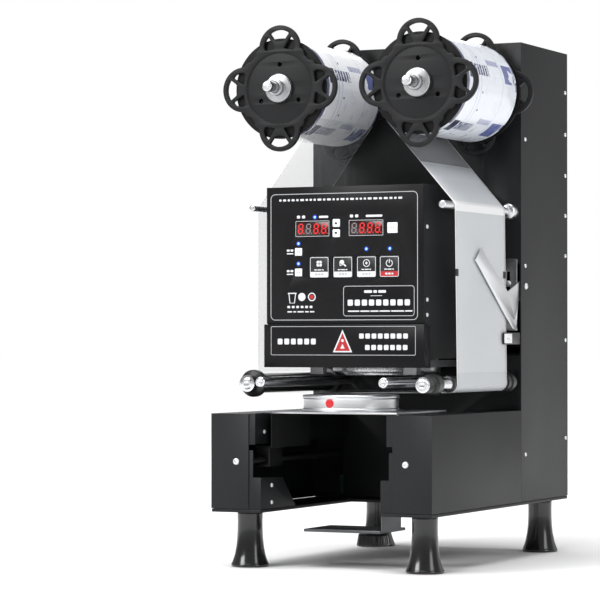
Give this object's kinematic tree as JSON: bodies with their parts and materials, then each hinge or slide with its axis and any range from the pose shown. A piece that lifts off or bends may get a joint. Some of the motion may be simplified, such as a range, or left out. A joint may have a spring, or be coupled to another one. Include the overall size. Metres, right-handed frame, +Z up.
{
  "type": "cup sealing machine",
  "caption": "Table-top automatic machine that heat-seals printed film onto a filled cup, with a sliding cup tray, a motor-driven press and film wound from roll to roll.",
  "frame": {"origin": "on the table, under the centre of the machine's overall box", "axes": "+Z up, -Y to the front (control panel), +X to the operator's right"},
  "size_m": [0.288, 0.382, 0.5604],
  "materials": {
    "black_paint": "fine-textured satin black powder coat",
    "panel_overlay": "satin black printed overlay",
    "black_plastic": "moulded black plastic, light satin",
    "rubber": "black rubber",
    "sheet_steel": "brushed stainless sheet",
    "chrome": "bright chrome plate",
    "aluminium": "turned aluminium",
    "film": "clear printed sealing film",
    "film_roll": "wound printed sealing film",
    "key_white": "white key cap",
    "key_black": "black key with a white lower band",
    "board": "green circuit board with red displays",
    "motor": "grey geared motor or machined steel"
  },
  "bodies": {
    "frame": {"base_plate": "black_paint", "foot_front_left": "rubber", "foot_front_right": "rubber", "foot_rear_left": "rubber", "foot_rear_right": "rubber", "arm_casing_left": "black_paint", "arm_casing_right": "black_paint", "cabinet_shell": "black_paint", "rear_cover": "black_paint", "power_inlet": "black_plastic", "power_supply": "board", "head_cover": "black_paint", "control_panel": "panel_overlay", "panel_board": "board", "head_frame": "sheet_steel", "press_motor": "motor", "tray_rail_left": "chrome", "tray_rail_right": "chrome", "tray_motor": "motor", "upper_guide_bar_left": "chrome", "upper_guide_bar_right": "chrome", "film_guide_rod_left": "chrome", "film_guide_rod_right": "chrome", "takeup_motor": "motor", "film_web": "film"},
    "tray": {"tray_plate": "sheet_steel", "cup_ring": "aluminium"},
    "tray_pinion": {"tray_pinion": "sheet_steel"},
    "shelf": {"cup_shelf": "sheet_steel"},
    "shelf_knob": {"shelf_knob": "black_plastic"},
    "press": {"press_carriage": "motor", "cutter_ring": "chrome", "hot_plate": "sheet_steel"},
    "press_crank": {"press_crank": "sheet_steel"},
    "safety_flap": {"safety_flap": "panel_overlay"},
    "supply": {"supply_spindle": "chrome", "supply_front_disc": "black_plastic", "supply_rear_disc": "black_plastic", "supply_film_roll": "film_roll"},
    "supply_nut": {"supply_nut": "chrome"},
    "takeup": {"takeup_spindle": "chrome", "takeup_front_disc": "black_plastic", "takeup_rear_disc": "black_plastic", "takeup_film_roll": "film_roll"},
    "takeup_nut": {"takeup_nut": "chrome"},
    "guide_roller": {"guide_roller": "rubber"},
    "drive_roller": {"drive_roller": "rubber"},
    "sensor": {"sensor_bracket": "sheet_steel", "photo_eye": "black_plastic"},
    "film_lever": {"film_lever": "sheet_steel"},
    "power_rocker": {"power_rocker": "black_plastic"},
    "key_up": {"key_up": "key_white"},
    "key_down": {"key_down": "key_white"},
    "key_reset": {"key_reset": "key_white"},
    "key_mode_upper": {"key_mode_upper": "key_white"},
    "key_mode_lower": {"key_mode_lower": "key_white"},
    "key_feed": {"key_feed": "key_black"},
    "key_seal": {"key_seal": "key_black"},
    "key_pause": {"key_pause": "key_black"},
    "key_power": {"key_power": "key_black"}
  },
  "joints": [
    {"name": "tray_slide", "type": "slide", "parent": "frame", "child": "tray", "axis": [0, 1, 0], "range_m": [0, 0.09]},
    {"name": "tray_pinion_spin", "type": "hinge", "parent": "frame", "child": "tray_pinion", "pos_m": [0.108, -0.0515, 0.088], "axis": [1, 0, 0], "range_deg": [-430, 0]},
    {"name": "shelf_slide", "type": "slide", "parent": "tray", "child": "shelf", "axis": [0, 0, 1], "range_m": [-0.012, 0.04]},
    {"name": "shelf_knob_spin", "type": "hinge", "parent": "shelf", "child": "shelf_knob", "pos_m": [0.022, -0.1095, 0.03], "axis": [0, 0, 1], "continuous": true},
    {"name": "press_slide", "type": "slide", "parent": "frame", "child": "press", "axis": [0, 0, -1], "range_m": [0, 0.015]},
    {"name": "press_crank_turn", "type": "hinge", "parent": "frame", "child": "press_crank", "pos_m": [0, 0.04, 0.31], "axis": [0, 1, 0], "range_deg": [0, 70.1]},
    {"name": "safety_flap_swing", "type": "hinge", "parent": "frame", "child": "safety_flap", "pos_m": [0, -0.134, 0.2486], "axis": [-1, 0, 0], "range_deg": [0, 75]},
    {"name": "supply_spin", "type": "hinge", "parent": "frame", "child": "supply", "pos_m": [0.0783, 0, 0.4947], "axis": [0, -1, 0], "continuous": true},
    {"name": "takeup_spin", "type": "hinge", "parent": "frame", "child": "takeup", "pos_m": [-0.0783, 0, 0.4947], "axis": [0, -1, 0], "continuous": true},
    {"name": "supply_nut_turn", "type": "hinge", "parent": "supply", "child": "supply_nut", "pos_m": [0.0783, -0.13, 0.4947], "axis": [0, -1, 0], "continuous": true},
    {"name": "takeup_nut_turn", "type": "hinge", "parent": "takeup", "child": "takeup_nut", "pos_m": [-0.0783, -0.13, 0.4947], "axis": [0, -1, 0], "continuous": true},
    {"name": "guide_roller_spin", "type": "hinge", "parent": "frame", "child": "guide_roller", "pos_m": [0.11, 0, 0.1885], "axis": [0, -1, 0], "continuous": true},
    {"name": "drive_roller_spin", "type": "hinge", "parent": "frame", "child": "drive_roller", "pos_m": [-0.095, 0, 0.1885], "axis": [0, -1, 0], "continuous": true},
    {"name": "sensor_slide", "type": "slide", "parent": "frame", "child": "sensor", "axis": [0, 0, 1], "range_m": [-0.006, 0.006]},
    {"name": "film_lever_swing", "type": "hinge", "parent": "sensor", "child": "film_lever", "pos_m": [0.12, 0.0385, 0.254], "axis": [1, 0, 0], "range_deg": [-10, 12]},
    {"name": "power_rocker_tilt", "type": "hinge", "parent": "frame", "child": "power_rocker", "pos_m": [0.096, 0.185, 0.086], "axis": [1, 0, 0], "range_deg": [0, 14]},
    {"name": "key_up_press", "type": "slide", "parent": "frame", "child": "key_up", "axis": [0, 1, 0], "range_m": [0, 0.0006], "stiffness_N_per_m": 400, "springref_m": -0.0005},
    {"name": "key_down_press", "type": "slide", "parent": "frame", "child": "key_down", "axis": [0, 1, 0], "range_m": [0, 0.0006], "stiffness_N_per_m": 400, "springref_m": -0.0005},
    {"name": "key_reset_press", "type": "slide", "parent": "frame", "child": "key_reset", "axis": [0, 1, 0], "range_m": [0, 0.0006], "stiffness_N_per_m": 400, "springref_m": -0.0005},
    {"name": "key_mode_upper_press", "type": "slide", "parent": "frame", "child": "key_mode_upper", "axis": [0, 1, 0], "range_m": [0, 0.0006], "stiffness_N_per_m": 400, "springref_m": -0.0005},
    {"name": "key_mode_lower_press", "type": "slide", "parent": "frame", "child": "key_mode_lower", "axis": [0, 1, 0], "range_m": [0, 0.0006], "stiffness_N_per_m": 400, "springref_m": -0.0005},
    {"name": "key_feed_press", "type": "slide", "parent": "frame", "child": "key_feed", "axis": [0, 1, 0], "range_m": [0, 0.0006], "stiffness_N_per_m": 400, "springref_m": -0.0005},
    {"name": "key_seal_press", "type": "slide", "parent": "frame", "child": "key_seal", "axis": [0, 1, 0], "range_m": [0, 0.0006], "stiffness_N_per_m": 400, "springref_m": -0.0005},
    {"name": "key_pause_press", "type": "slide", "parent": "frame", "child": "key_pause", "axis": [0, 1, 0], "range_m": [0, 0.0006], "stiffness_N_per_m": 400, "springref_m": -0.0005},
    {"name": "key_power_press", "type": "slide", "parent": "frame", "child": "key_power", "axis": [0, 1, 0], "range_m": [0, 0.0006], "stiffness_N_per_m": 400, "springref_m": -0.0005}
  ],
  "couplings": [
    {"joint": "tray_pinion_spin", "follows": "tray_slide", "rad_per_m": -83.333},
    {"joint": "press_crank_turn", "follows": "press_slide", "rad_per_m": 81.45},
    {"joint": "takeup_spin", "follows": "supply_spin", "ratio": 1},
    {"joint": "guide_roller_spin", "follows": "supply_spin", "ratio": -6.3415},
    {"joint": "drive_roller_spin", "follows": "supply_spin", "ratio": -5.2}
  ]
}
